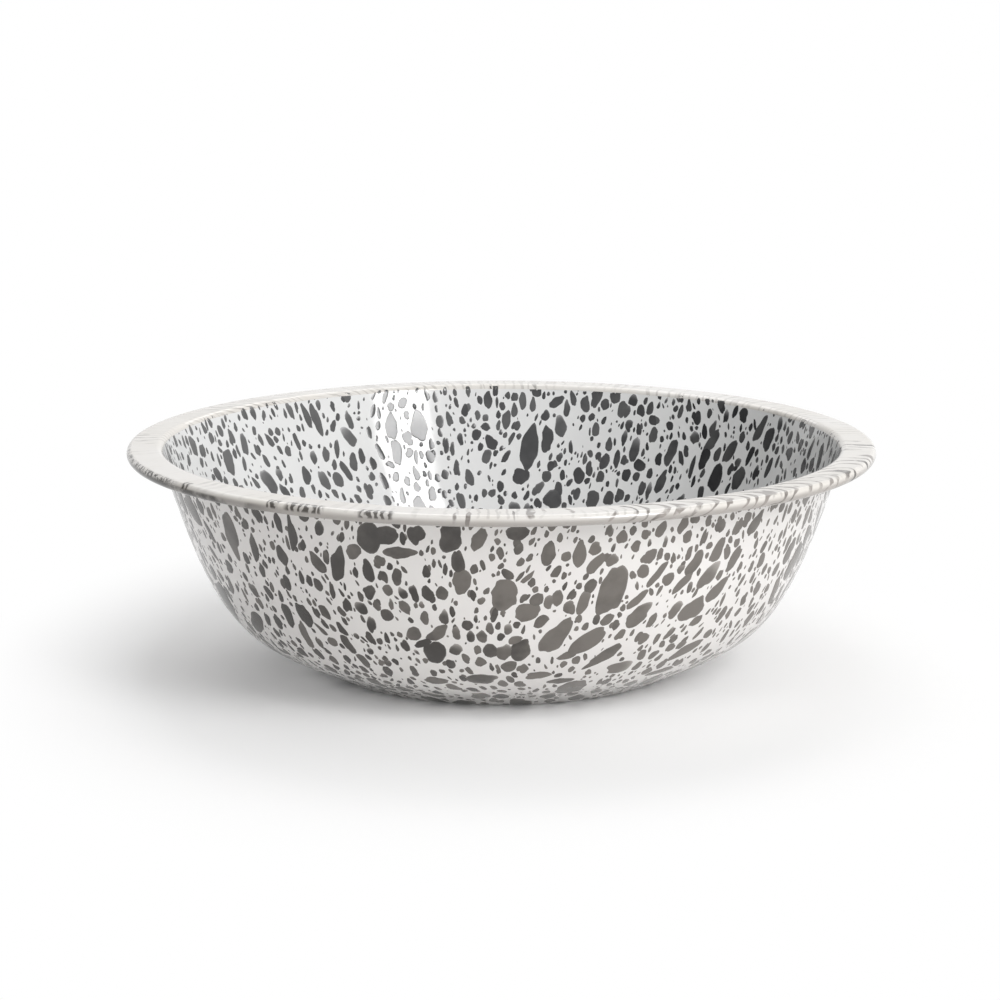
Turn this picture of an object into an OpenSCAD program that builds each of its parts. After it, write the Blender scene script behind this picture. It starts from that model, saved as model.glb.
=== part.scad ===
// Basin bowl pressed from one steel sheet, with a flat flange and a rolled rim, enamelled inside
// and out and splashed with grey drops. It stands on the XY plane with its axis on Z, and every
// size is in millimetres. The layers are built on one outline, so that neighbours meet face to face.

/* [Bowl] */
// Diameter over the finished rolled rim
rim_d = 340; // [310:5:370]
// Height from the table to the top of the finished flange
height = 104; // [94:2:116]
// Outer diameter of the flat ring that the bowl stands on
foot_d = 152; // [136:2:168]
// Width of that ring
foot_ring_w = 7; // [4:0.5:12]
// Width of the slope from the ring up into the recess of the bottom
foot_slope_w = 8; // [5:0.5:14]
// Depth of the recess pressed into the bottom
foot_recess = 0.8; // [0.3:0.1:1.6]
// Radius of the turn from the ring into the wall, on the outside
foot_bend = 12; // [8:0.5:18]

/* [Wall] */
// Slope of the wall, in degrees, where it leaves the foot
foot_angle = 27; // [20:1:34]
// Slope of the wall, in degrees, just below the flange
wall_angle = 73.4; // [68:0.2:80]

/* [Rim] */
// Width of the flange and bead together, from the wall's top outwards
flange_w = 14.8; // [11:0.2:20]
// Fall of the flange towards the bead, in degrees
flange_drop = 1.4; // [0:0.2:6]
// Radius of the turn from the wall into the flange, on the underside
rim_bend = 1.5; // [0.8:0.1:3]
// Diameter of the finished rolled bead
bead_d = 5; // [4.2:0.1:7]

/* [Steel and enamel] */
// Thickness of the steel sheet
sheet_t = 0.8; // [0.5:0.05:1]
// Thickness of the dark ground coat on each face
ground_t = 0.15; // [0.1:0.01:0.2]
// Thickness of the white cover coat on each face
cover_t = 0.25; // [0.15:0.01:0.3]
// Thickness of the grey drops that are fused onto the cover coat
drop_t = 0.15; // [0.08:0.01:0.2]

/* [Grey drops] */
// Number of large drops outside
drops_out_count = 96; // [24:1:120]
// Number of large drops inside
drops_in_count = 110; // [24:1:140]
// Length of the longest drop
drop_long = 24; // [16:0.5:26]
// Length of the shortest of these drops
drop_short = 9; // [6:0.5:14]
// Furthest lean of a drop away from the straight way up the wall, in degrees
drop_lean = 32; // [0:1:40]

/* [Hidden] */

// How far the wall's curve holds its slope at the foot and at the flange, as shares of its chord
foot_pull_share = 0.32;
rim_pull_share = 0.73;

// How far the rim's enamel runs on past the sheet's cut edge, in degrees round the bead
rim_coat_lap = 4;

// Steps in the slope of the bottom, the turns, the wall and the bead
slope_steps = 6;
bend_steps = 5;
wall_steps = 32;
bead_steps = 22;
round_fn = 180;

// Corners of a drop's outline, its width as shares of its length, and how much narrower its upper
// end is, as shares of its width
drop_corners = 14;
drop_slim_shares = [0.45, 0.75];
drop_taper_shares = [-0.1, 0.4];
// Large drops are rarer than small ones by this power
drop_size_power = 2;
drops_in_seed = 11;
drops_out_seed = 47;

// Each layer lies between two depths, counted inwards from the finished outside of the bowl
ground_out_at = cover_t;
sheet_at = ground_out_at + ground_t;
ground_in_at = sheet_at + sheet_t;
cover_in_at = ground_in_at + ground_t;
wall_t = cover_in_at + cover_t;

// Ring and recess of the bottom
ring_out_r = foot_d / 2;
ring_in_r = ring_out_r - foot_ring_w;
recess_r = ring_in_r - foot_slope_w;

// The turn into the flange and the place of the rolled bead
bead_r = bead_d / 2;
wall_top_r = rim_d / 2 - flange_w;
bend_z = height - rim_bend - wall_t;
wall_top_z = bend_z + rim_bend * cos(wall_angle);
bend_r = wall_top_r + rim_bend * sin(wall_angle);
flange_top_r = bend_r + (rim_bend + wall_t) * sin(flange_drop);
flange_run = (rim_d / 2 - bead_r + bead_r * sin(flange_drop) - flange_top_r) / cos(flange_drop);

// The bead rolls under until its finished face meets the finished underside of the flange, and the
// rim's enamel runs on past the sheet's cut edge and closes the slit there
bead_sweep = 270 + asin((bead_r - wall_t) / bead_r);
cut_edge_slope = -flange_drop - bead_sweep;

// A station is [radius, height, slope] on the finished outside, and its normal points inwards
function at_depth(station, depth) =
    [station.x - depth * sin(station.z), station.y + depth * cos(station.z)];

function turn(centre_r, centre_z, radius, first, last, steps) = [
    for (i = [0:steps])
        let (slope = first + (last - first) * i / steps)
        [centre_r + radius * sin(slope), centre_z - radius * cos(slope), slope]
];

function bezier(a, b, c, d, t) =
    a * pow(1 - t, 3) + 3 * b * t * pow(1 - t, 2) + 3 * c * t * t * (1 - t) + d * pow(t, 3);

function bezier_way(a, b, c, d, t) =
    (b - a) * pow(1 - t, 2) + 2 * (c - b) * t * (1 - t) + (d - c) * t * t;

// Bottom: flat recess, then a smooth slope down to the standing ring
bottom = concat(
    [[0, foot_recess, 0]],
    [
        for (i = [0:slope_steps])
            let (
                t = i / slope_steps,
                fall = 6 * t * (1 - t) * foot_recess / foot_slope_w
            )
            [recess_r + t * foot_slope_w, foot_recess * (1 - t * t * (3 - 2 * t)), -atan(fall)]
    ]
);

// Wall: the turn of the foot, then one curve from the foot's slope to the flange's
foot_turn = turn(ring_out_r, foot_bend, foot_bend, 0, foot_angle, bend_steps);
wall_foot = foot_turn[bend_steps];
wall_from = [wall_foot.x, wall_foot.y];
wall_to = [wall_top_r, wall_top_z];
wall_chord = norm(wall_to - wall_from);
wall_pull_a = wall_from + wall_chord * foot_pull_share * [cos(foot_angle), sin(foot_angle)];
wall_pull_b = wall_to - wall_chord * rim_pull_share * [cos(wall_angle), sin(wall_angle)];
wall = [
    for (i = [1:wall_steps])
        let (
            t = i / wall_steps,
            p = bezier(wall_from, wall_pull_a, wall_pull_b, wall_to, t),
            way = bezier_way(wall_from, wall_pull_a, wall_pull_b, wall_to, t)
        )
        [p.x, p.y, atan2(way.y, way.x)]
];

// Rim: the turn outwards, the flange, and the bead rolled under it. These turns bend the other
// way, so their centres lie outside the bowl and their radii are negative.
rim_turn = turn(bend_r, bend_z, -rim_bend, wall_angle, -flange_drop, bend_steps);
flange_start = rim_turn[bend_steps];
flange_end = [
    flange_start.x + flange_run * cos(flange_drop),
    flange_start.y - flange_run * sin(flange_drop),
    -flange_drop
];
bead_centre = at_depth(flange_end, wall_t - bead_r);
function bead_turn(first, last, steps) =
    turn(bead_centre.x, bead_centre.y, wall_t - bead_r, first, last, steps);
bead = bead_turn(-flange_drop, cut_edge_slope, bead_steps);
coat_end = bead_turn(cut_edge_slope, cut_edge_slope - rim_coat_lap, 1);

to_foot = concat(bottom, foot_turn);
to_wall_top = concat(to_foot, wall);
turned_out = [for (i = [1:bend_steps]) rim_turn[i]];
rim_start = concat([wall[wall_steps - 1]], turned_out);
to_flange = concat(to_wall_top, turned_out);
to_cut_edge = concat(to_flange, bead);

// Outline of a layer that follows the stations between two depths
function layer(stations, low, high) = concat(
    [for (s = stations) at_depth(s, low)],
    [for (i = [len(stations) - 1:-1:0]) at_depth(stations[i], high)]
);

module coat(stations, low, high) {
    rotate_extrude($fn = round_fn) polygon(layer(stations, low, high));
}

// Section of a coat that runs out under the flange and stops where it meets the finished bead
module under_flange(stations, low, high) {
    difference() {
        polygon(layer(concat(stations, [flange_end]), low, high));
        polygon([for (s = bead) at_depth(s, wall_t)]);
    }
}

module steel_bowl() {
    color("#8b8f92") coat(to_cut_edge, sheet_at, ground_in_at);
}

module ground_coat_inside() {
    color("#2c2f36") coat(to_cut_edge, ground_in_at, cover_in_at);
}

module ground_coat_outside() {
    color("#2c2f36")
        rotate_extrude($fn = round_fn)
            under_flange(to_flange, ground_out_at, sheet_at);
}

module cover_coat_inside() {
    color("#e4e5e4") coat(to_wall_top, cover_in_at, wall_t);
}

module cover_coat_outside() {
    color("#e4e1dd") coat(to_wall_top, 0, ground_out_at);
}

// Over the flange, round the bead and back along the flange's underside to the wall
module rim_coat() {
    color("#d9d6d0")
        rotate_extrude($fn = round_fn)
            union() {
                polygon(layer(concat(rim_start, bead, [coat_end[1]]), cover_in_at, wall_t));
                under_flange(rim_start, 0, ground_out_at);
            }
}

// Area of the surface from the first station up to each station, for an even spread of drops
function areas(stations) = [
    for (
        i = 0, sum = 0;
        i < len(stations);
        i = i + 1,
        sum = i < len(stations)
            ? sum + PI * (stations[i].x + stations[i - 1].x)
                * norm([stations[i].x - stations[i - 1].x, stations[i].y - stations[i - 1].y])
            : sum
    ) sum
];

function station_at(stations, sums, share) =
    let (
        last = len(stations) - 1,
        index = lookup(share * sums[last], [for (i = [0:last]) [sums[i], i]]),
        i = min(floor(index), last - 1)
    )
    stations[i] + (stations[i + 1] - stations[i]) * (index - i);

// An egg-shaped drop, blunt at its lower end, with its length along X
function drop_outline(length, width, taper_share) = [
    for (i = [0:drop_corners - 1])
        let (a = 360 * i / drop_corners)
        [length / 2 * cos(a), width / 2 * sin(a) * (1 - taper_share * cos(a))]
];

// Prisms on a sunflower spiral, each square to the surface at its own place
module drop_prisms(stations, count, seed) {
    golden = 180 * (3 - sqrt(5));
    sums = areas(stations);
    size_shares = rands(0, 1, count, seed);
    slim_shares = rands(drop_slim_shares[0], drop_slim_shares[1], count, seed + 1);
    lean_shares = rands(-1, 1, count, seed + 2);
    taper_shares = rands(drop_taper_shares[0], drop_taper_shares[1], count, seed + 3);
    for (i = [0:count - 1]) {
        s = station_at(stations, sums, (i + 0.5) / count);
        length = drop_short + (drop_long - drop_short) * pow(size_shares[i], drop_size_power);
        reach = length / 2;
        rotate([0, 0, i * golden])
            translate([s.x, 0, s.y])
                rotate([0, -s.z, 0])
                    rotate([0, 0, drop_lean * lean_shares[i]])
                        translate([0, 0, -reach])
                            linear_extrude(height = 2 * reach)
                                polygon(drop_outline(length, length * slim_shares[i], taper_shares[i]));
    }
}

// The drops stay clear of the layer's ends by half of the longest drop
function drop_field(stations) = [
    for (i = [1:len(stations) - 1])
        if (stations[i].x > drop_long && wall_top_z - stations[i].y > drop_long / 2) stations[i]
];

module grey_drops_inside() {
    color("#3f3f45") intersection() {
        coat(to_wall_top, wall_t, wall_t + drop_t);
        drop_prisms(drop_field(to_wall_top), drops_in_count, drops_in_seed);
    }
}

module grey_drops_outside() {
    above_foot = concat([wall_foot], wall);
    color("#625f5c") intersection() {
        coat(above_foot, -drop_t, 0);
        drop_prisms(drop_field(above_foot), drops_out_count, drops_out_seed);
    }
}

steel_bowl();
ground_coat_inside();
ground_coat_outside();
cover_coat_inside();
cover_coat_outside();
rim_coat();
grey_drops_inside();
grey_drops_outside();
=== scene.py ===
import bpy
import numpy as np
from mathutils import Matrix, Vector
from mathutils.kdtree import KDTree


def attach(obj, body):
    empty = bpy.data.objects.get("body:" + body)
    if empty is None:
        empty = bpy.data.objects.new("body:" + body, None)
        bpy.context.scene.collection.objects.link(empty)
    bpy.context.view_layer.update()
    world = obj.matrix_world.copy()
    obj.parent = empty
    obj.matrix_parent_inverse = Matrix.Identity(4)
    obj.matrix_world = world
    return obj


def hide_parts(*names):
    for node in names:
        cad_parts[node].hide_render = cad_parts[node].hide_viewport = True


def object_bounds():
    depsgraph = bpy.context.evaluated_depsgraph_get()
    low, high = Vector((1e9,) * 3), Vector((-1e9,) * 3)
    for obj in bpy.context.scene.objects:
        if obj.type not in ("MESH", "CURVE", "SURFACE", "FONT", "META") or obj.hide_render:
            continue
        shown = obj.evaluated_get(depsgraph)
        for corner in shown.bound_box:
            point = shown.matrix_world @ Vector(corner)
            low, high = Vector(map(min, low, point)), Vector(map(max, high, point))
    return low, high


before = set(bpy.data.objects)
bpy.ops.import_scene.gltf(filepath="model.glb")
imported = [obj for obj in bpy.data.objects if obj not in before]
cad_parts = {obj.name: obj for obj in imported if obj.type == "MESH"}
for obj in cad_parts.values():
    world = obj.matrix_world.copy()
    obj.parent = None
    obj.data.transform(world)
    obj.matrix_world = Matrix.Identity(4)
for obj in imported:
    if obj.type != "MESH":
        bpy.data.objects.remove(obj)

cad_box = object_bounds()

# Steel bowl: one disc of sheet steel, pressed to shape, with its edge turned out as a flange and
# rolled under as a bead. Enamel covers all of it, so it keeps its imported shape. Its surface is the
# dull grey of sheet that was pickled before it was dipped.
steel_light = (0.42, 0.43, 0.44, 1)
steel_dark = (0.25, 0.26, 0.27, 1)


def fresh_tree(owner):
    """The empty node tree of a new material or world."""
    owner.use_nodes = True
    owner.node_tree.nodes.clear()
    return owner.node_tree


def feed(tree, node, inputs):
    """Gives a node its inputs, each a plain value or the output of another node."""
    for key, value in inputs.items():
        if isinstance(value, bpy.types.NodeSocket):
            tree.links.new(value, node.inputs[key])
        else:
            node.inputs[key].default_value = value


def add(tree, kind, inputs=(), **settings):
    """Adds a shader node with its settings and inputs."""
    node = tree.nodes.new("ShaderNode" + kind)
    for key, value in settings.items():
        setattr(node, key, value)
    feed(tree, node, dict(inputs))
    return node


def object_place(tree):
    """Place on the object in metres."""
    return add(tree, "TexCoord").outputs["Object"]


def vector(tree, operation, *values, result="Vector"):
    """One step of arithmetic on vectors."""
    return add(tree, "VectorMath", enumerate(values), operation=operation).outputs[result]


def calc(tree, operation, *values):
    """One step of arithmetic on numbers or outputs."""
    return add(tree, "Math", enumerate(values), operation=operation).outputs[0]


def times(tree, product, *others):
    """Product of numbers or outputs."""
    for other in others:
        product = calc(tree, "MULTIPLY", product, other)
    return product


def plus(tree, total, *others):
    """Sum of numbers or outputs."""
    for other in others:
        total = calc(tree, "ADD", total, other)
    return total


def eased(tree, value, low, high, start=0.0, end=1.0):
    """Goes smoothly from start to end while the value goes from low to high."""
    inputs = {"Value": value, "From Min": low, "From Max": high, "To Min": start, "To Max": end}
    return add(tree, "MapRange", inputs, interpolation_type="SMOOTHSTEP").outputs[0]


def mixed(tree, share, one, other):
    """Colour that goes from one to other as share goes from 0 to 1."""
    return add(tree, "Mix", {0: share, 6: one, 7: other}, data_type="RGBA").outputs[2]


def noise(tree, where, scale, detail=2.0, roughness=0.5):
    """Soft noise from 0 to 1 at a scale in waves per metre."""
    inputs = {"Vector": where, "Scale": scale, "Detail": detail, "Roughness": roughness}
    return add(tree, "TexNoise", inputs).outputs["Fac"]


def swing(tree, where, scale, size, detail=2.0, roughness=0.5):
    """Soft noise that swings about nothing, by half its size each way."""
    level = noise(tree, where, scale, detail, roughness)
    return times(tree, calc(tree, "SUBTRACT", level, 0.5), size)


def tilted(tree, height, distance, strength):
    """Normal that leans as a height of some metres would make it."""
    inputs = {"Height": height, "Distance": distance, "Strength": strength}
    return add(tree, "Bump", inputs).outputs[0]


def finish(name, dress):
    """A new material. dress(tree) gives the inputs of its one Principled shader."""
    material = bpy.data.materials.new(name)
    tree = fresh_tree(material)
    shader = add(tree, "BsdfPrincipled", dress(tree))
    add(tree, "OutputMaterial", {"Surface": shader.outputs[0]})
    return material


def pickled_steel(tree):
    place = object_place(tree)
    cloud = noise(tree, place, 60, 4)
    grain = noise(tree, place, 2500, 2)
    return {
        "Base Color": mixed(tree, cloud, steel_light, steel_dark),
        "Metallic": 1.0,
        "Roughness": eased(tree, grain, 0.3, 0.7, 0.42, 0.6),
        "Normal": tilted(tree, grain, 0.00002, 0.4),
    }


def dress_node(node, material):
    """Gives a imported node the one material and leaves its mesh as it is."""
    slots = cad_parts[node].data.materials
    slots.clear()
    slots.append(material)


dress_node("steel_bowl", finish("pickled_steel", pickled_steel))

# Ground coats: the first coat of enamel, dipped on and fired to grip the steel. It is nearly black
# with a blue cast and fine pits, and no part of it shows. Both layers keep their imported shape.
ground_blue = (0.012, 0.014, 0.03, 1)
ground_black = (0.004, 0.004, 0.006, 1)


def ground_enamel(tree):
    place = object_place(tree)
    cloud = noise(tree, place, 90, 5)
    pits = noise(tree, place, 1800, 3)
    return {
        "Base Color": mixed(tree, cloud, ground_blue, ground_black),
        "Roughness": eased(tree, pits, 0.35, 0.65, 0.3, 0.5),
        "Normal": tilted(tree, pits, 0.00003, 0.5),
    }


ground = finish("ground_enamel", ground_enamel)
dress_node("ground_coat_inside", ground)
dress_node("ground_coat_outside", ground)

# White cover coat, inside: a second coat of white enamel, dipped, drained and fired over the ground
# coat, from the middle of the bottom to the top of the wall. It is glossy, not quite flat, and a
# little cool in colour. This section also holds the bowl's outline, which all the coats follow.
rim_radius = (cad_box[1].x - cad_box[0].x) / 2
bowl_height = cad_box[1].z
foot_radius = 0.076
foot_ring_width = 0.007
foot_slope_width = 0.008
foot_recess = 0.0008
foot_bend = 0.012
foot_slope = np.radians(27)
wall_slope = np.radians(73.4)
wall_pulls = (0.32, 0.73)
flange_width = 0.0148
flange_fall = np.radians(1.4)
rim_bend = 0.0015
bead_radius = 0.0025
cover_thickness = 0.00025
wall_thickness = 0.0016
rounds = 480
ripples = ((7, 40, 0.4, 8e-5), (15, 90, 1.9, 4e-5), (27, -130, 4.1, 1.8e-5), (4, 150, 2.6, 2.5e-5))
hidden_share = 0.06
sharp_from = np.radians(50)
enamel_ior = 1.6
orange_peel = 0.00002
speck_grey = (0.16, 0.15, 0.14, 1)
cool_white = (0.755, 0.757, 0.752, 1)
cool_drift = (0.725, 0.725, 0.722, 1)


def turn(centre_r, centre_z, radius, first, last, count):
    """Stations (radius, height, slope) round an arc: the centre plus the arc's radius square to the
    slope, which goes from first to last with short steps at both ends."""
    t = np.linspace(0, 1, count + 1)
    slope = first + (last - first) * t * t * (3 - 2 * t)
    return np.stack([centre_r + radius * np.sin(slope), centre_z - radius * np.cos(slope), slope], 1)


def straight(start, end, slope, count):
    """Stations along a straight line between two (radius, height) places."""
    t = np.linspace(0, 1, count + 1)[:, None]
    line = np.array(start) + (np.array(end) - np.array(start)) * t
    return np.hstack([line, np.full_like(t, slope)])


def at_depth(stations, depth):
    """(radius, height) at a depth below the finished outside, square to the slope."""
    slope = stations[:, 2]
    return np.stack([
        stations[:, 0] - depth * np.sin(slope), stations[:, 1] + depth * np.cos(slope)
    ], 1)


def outline_to_wall_top():
    """Stations of the finished outside: flat recess, an S-shaped slope down to the flat ring, the
    turn of the foot, and a wall that is one cubic curve between the two slopes."""
    ring_in = foot_radius - foot_ring_width
    recess_r = ring_in - foot_slope_width
    floor = straight((0, foot_recess), (recess_r, foot_recess), 0, 16)
    t = np.linspace(0, 1, 11)[1:]
    fall = np.stack([
        recess_r + t * foot_slope_width,
        foot_recess * (1 - t * t * (3 - 2 * t)),
        -np.arctan(6 * t * (1 - t) * foot_recess / foot_slope_width),
    ], 1)
    ring = straight((ring_in, 0), (foot_radius, 0), 0, 4)[1:]
    foot = turn(foot_radius, foot_bend, foot_bend, 0, foot_slope, 10)[1:]
    start = foot[-1, :2]
    end = np.array([rim_radius - flange_width, bend_z + rim_bend * np.cos(wall_slope)])
    chord = np.hypot(*(end - start))
    way_out = np.array([np.cos(foot_slope), np.sin(foot_slope)])
    way_in = np.array([np.cos(wall_slope), np.sin(wall_slope)])
    near = start + chord * wall_pulls[0] * way_out
    far = end - chord * wall_pulls[1] * way_in
    t = np.linspace(0, 1, 96)[1:, None]
    curve = start * (1 - t) ** 3 + 3 * near * t * (1 - t) ** 2 + 3 * far * t * t * (1 - t) + end * t ** 3
    way = (near - start) * (1 - t) ** 2 + 2 * (far - near) * t * (1 - t) + (end - far) * t * t
    wall = np.hstack([curve, np.arctan2(way[:, 1:], way[:, :1])])
    return np.vstack([floor, fall, ring, foot, wall])


def along(line):
    """Distance of each (radius, height) point from the first, measured along the line."""
    return np.r_[0, np.cumsum(np.hypot(*np.diff(line, axis=0).T))]


def ripple(azimuth, way):
    """Unevenness of fired enamel in metres: a few waves that run round and up the wall, each with a
    count round, a number of radians per metre up, a start and a height, and none on the bottom."""
    waves = sum(high * np.sin(count * azimuth + up * way + start) for count, up, start, high in ripples)
    return waves * np.clip((way - 0.079) / 0.02, 0, 1) ** 2


def round_azimuths():
    """Azimuth of each turned copy of a line."""
    return np.arange(rounds)[:, None] * 2 * np.pi / rounds


def turned(line, lift, facing):
    """Points of a line turned round Z, as rounds x stations: at azimuth a, which is counted from the
    facing side towards +X, a station lies at (r sin a, facing r cos a, z)."""
    azimuth = round_azimuths()
    radius = line[None, :, 0] + lift[..., 0]
    height = line[None, :, 1] + lift[..., 1]
    return np.stack([
        radius * np.sin(azimuth), facing * radius * np.cos(azimuth), height + 0 * azimuth
    ], 2)


def shell(grid, share_up, closed):
    """Faces of a turned line: four-sided, from station to station and round to the start, and three-
    sided at the two poles of an open line. Gives points, faces and each corner's place on a map."""
    count = grid.shape[1]
    points = grid.reshape(-1, 3)
    around, up = np.meshgrid(np.arange(rounds), np.arange(count if closed else count - 1), indexing="ij")
    around, up = around.ravel(), up.ravel()
    corner_round = np.stack([around, around + 1, around + 1, around], 1)
    corner_up = np.stack([up, up, up + 1, up + 1], 1)
    faces = [corner_round % rounds * count + corner_up % count]
    maps = [np.stack([corner_round / rounds, share_up[corner_up]], 2)]
    if not closed:
        for end, station in ((0, 0), (1, count - 1)):
            ring = np.arange(rounds)
            pole = len(points) + end
            spokes = (ring, ring + 1) if end else (ring + 1, ring)
            faces.append(np.stack([
                np.full(rounds, pole), *(spoke % rounds * count + station for spoke in spokes)
            ], 1))
            share = share_up[station] + 0 * ring
            maps.append(np.stack([
                np.stack([ring + 0.5, *spokes], 1) / rounds, np.stack([share, share, share], 1)
            ], 2))
        poles = points.reshape(rounds, count, 3)[:, [0, -1]].mean(0)
        points = np.vstack([points, poles])
    return points, faces, maps


def outwards(points, faces):
    """True if the faces of a closed surface point out: its volume, summed as cones from the origin
    over the fan of triangles of each face, is above nothing."""
    volume = 0
    for ring in faces:
        for corner in range(1, ring.shape[1] - 1):
            a, b, c = points[ring[:, 0]], points[ring[:, corner]], points[ring[:, corner + 1]]
            volume += np.einsum("ij,ij->", a, np.cross(b, c))
    return volume > 0


def make_piece(name, points, faces, maps, values, material, slot):
    """A smooth closed piece from points and faces, with the map it is unrolled on, one number for
    each point under each name in values, and its material. It rides on the bowl's only body."""
    if not outwards(points, faces):
        faces = [ring[:, ::-1] for ring in faces]
        maps = [place[:, ::-1] for place in maps]
    corners = np.concatenate([ring.ravel() for ring in faces]).astype(np.int32)
    sizes = np.concatenate([np.full(len(ring), ring.shape[1]) for ring in faces])
    mesh = bpy.data.meshes.new(name)
    mesh.vertices.add(len(points))
    mesh.vertices.foreach_set("co", points.astype(np.float32).ravel())
    mesh.loops.add(len(corners))
    mesh.loops.foreach_set("vertex_index", corners)
    mesh.polygons.add(len(sizes))
    mesh.polygons.foreach_set("loop_start", (np.cumsum(sizes) - sizes).astype(np.int32))
    mesh.update(calc_edges=True)
    mesh.polygons.foreach_set("use_smooth", np.ones(len(sizes), bool))
    mesh.set_sharp_from_angle(angle=sharp_from)
    unrolled = mesh.uv_layers.new(name="OFBake")
    unrolled.data.foreach_set("uv", np.concatenate([m.reshape(-1) for m in maps]).astype(np.float32))
    for key, numbers in values.items():
        mesh.attributes.new(key, "FLOAT", "POINT").data.foreach_set("value", numbers.astype(np.float32))
    mesh.materials.append(material)
    piece = bpy.data.objects.new(name, mesh)
    bpy.context.scene.collection.objects.link(piece)
    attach(piece, "root")
    return piece


bend_z = bowl_height - rim_bend - wall_thickness
to_wall_top = outline_to_wall_top()
turn_r = rim_radius - flange_width + rim_bend * np.sin(wall_slope)
rim_turn = turn(turn_r, bend_z, -rim_bend, wall_slope, -flange_fall, 18)


def cover_coat(name, node, seen_depth, hidden_depth, facing, material, slot):
    """A cover coat as a closed shell: the seen face with its ripples, the cut end at the wall's top,
    and the hidden face with every third station, back to the axis."""
    seen = at_depth(to_wall_top, seen_depth)
    back = at_depth(to_wall_top[::-1][::3], hidden_depth)
    line = np.vstack([seen, back])
    normal = np.stack([-np.sin(to_wall_top[:, 2]), np.cos(to_wall_top[:, 2])], 1)
    azimuth = round_azimuths()
    lift = np.zeros((rounds, len(line), 2))
    lift[:, :len(seen)] = ripple(azimuth, along(seen)[None])[..., None] * normal * facing
    share = along(seen) / along(seen)[-1] * (1 - 2 * hidden_share)
    share = np.r_[share, np.linspace(1 - hidden_share, 1, len(back))]
    points, faces, maps = shell(turned(line[1:-1], lift[:, 1:-1], facing), share[1:-1], False)
    points[-2:] = [[0, 0, line[0, 1]], [0, 0, line[-1, 1]]]
    piece = make_piece(name, points, faces, maps, {}, material, slot)
    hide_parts(node)


def enamel_skin():
    """Group that every fired enamel here shares: a slow drift of tone, faint fine specks, a gloss
    that varies a little, and the height of its orange-peel skin."""
    group = bpy.data.node_groups.new("enamel_skin", "ShaderNodeTree")
    for key, way, kind in (
        ("Colour", "INPUT", "Color"), ("Drift Colour", "INPUT", "Color"),
        ("Gloss Roughness", "INPUT", "Float"), ("Colour", "OUTPUT", "Color"),
        ("Roughness", "OUTPUT", "Float"), ("Height", "OUTPUT", "Float"),
    ):
        group.interface.new_socket(key, in_out=way, socket_type="NodeSocket" + kind)
    given = group.nodes.new("NodeGroupInput").outputs
    place = object_place(group)
    drift = eased(group, noise(group, place, 16, 3), 0.35, 0.7)
    cells = add(group, "TexVoronoi", {"Vector": place, "Scale": 420}).outputs["Distance"]
    patches = eased(group, noise(group, place, 150), 0.6, 0.7)
    specks = times(group, eased(group, cells, 0.1, 0.04), patches, 0.35)
    clean = mixed(group, drift, given["Colour"], given["Drift Colour"])
    speckled = mixed(group, specks, clean, speck_grey)
    uneven = eased(group, noise(group, place, 90, 3), 0.3, 0.7, 0.7, 1.4)
    feed(group, group.nodes.new("NodeGroupOutput"), {
        "Colour": speckled,
        "Roughness": times(group, given["Gloss Roughness"], uneven),
        "Height": noise(group, place, 240, 2, 0.4),
    })
    return group


enamel_skin_group = enamel_skin()


def skin(tree, colour, drift_colour, roughness, peel):
    """Inputs of the Principled shader for enamel of a colour, with orange peel of a height."""
    group = tree.nodes.new("ShaderNodeGroup")
    group.node_tree = enamel_skin_group
    feed(tree, group, {"Colour": colour, "Drift Colour": drift_colour, "Gloss Roughness": roughness})
    return {
        "Base Color": group.outputs["Colour"],
        "Roughness": group.outputs["Roughness"],
        "IOR": enamel_ior,
        "Normal": tilted(tree, group.outputs["Height"], peel, 1.0),
    }


white_inside = finish(
    "white_enamel_inside",
    lambda tree: skin(tree, cool_white, cool_drift, 0.09, orange_peel),
)
cover_coat(
    "white_coat_inside", "cover_coat_inside", wall_thickness, wall_thickness - cover_thickness, 1,
    white_inside, "white_enamel_inside",
)

# White cover coat, outside: the same white over the outer face, from the recess in the bottom over
# the foot ring and up to the underside of the flange. It drained rim down, and is a little warmer.
warm_white = (0.77, 0.75, 0.73, 1)
warm_drift = (0.74, 0.715, 0.7, 1)
white_outside = finish(
    "white_enamel_outside",
    lambda tree: skin(tree, warm_white, warm_drift, 0.1, orange_peel),
)
cover_coat(
    "white_coat_outside", "cover_coat_outside", 0, cover_thickness, -1,
    white_outside, "white_enamel_outside",
)

# Rim coat: white enamel over the flange, round the rolled bead and back under the flange, where it
# closes the slit. Grey enamel was combed into it while it was wet, and left feathered streaks.
rim_white = (0.735, 0.712, 0.682, 1)
rim_cream = (0.69, 0.66, 0.615, 1)
# The streaks' grey also colours the painted shade under the bead.
streak_and_shade_grey = (0.27, 0.245, 0.225, 1)
streak_dark = (0.04, 0.034, 0.028, 1)


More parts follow.
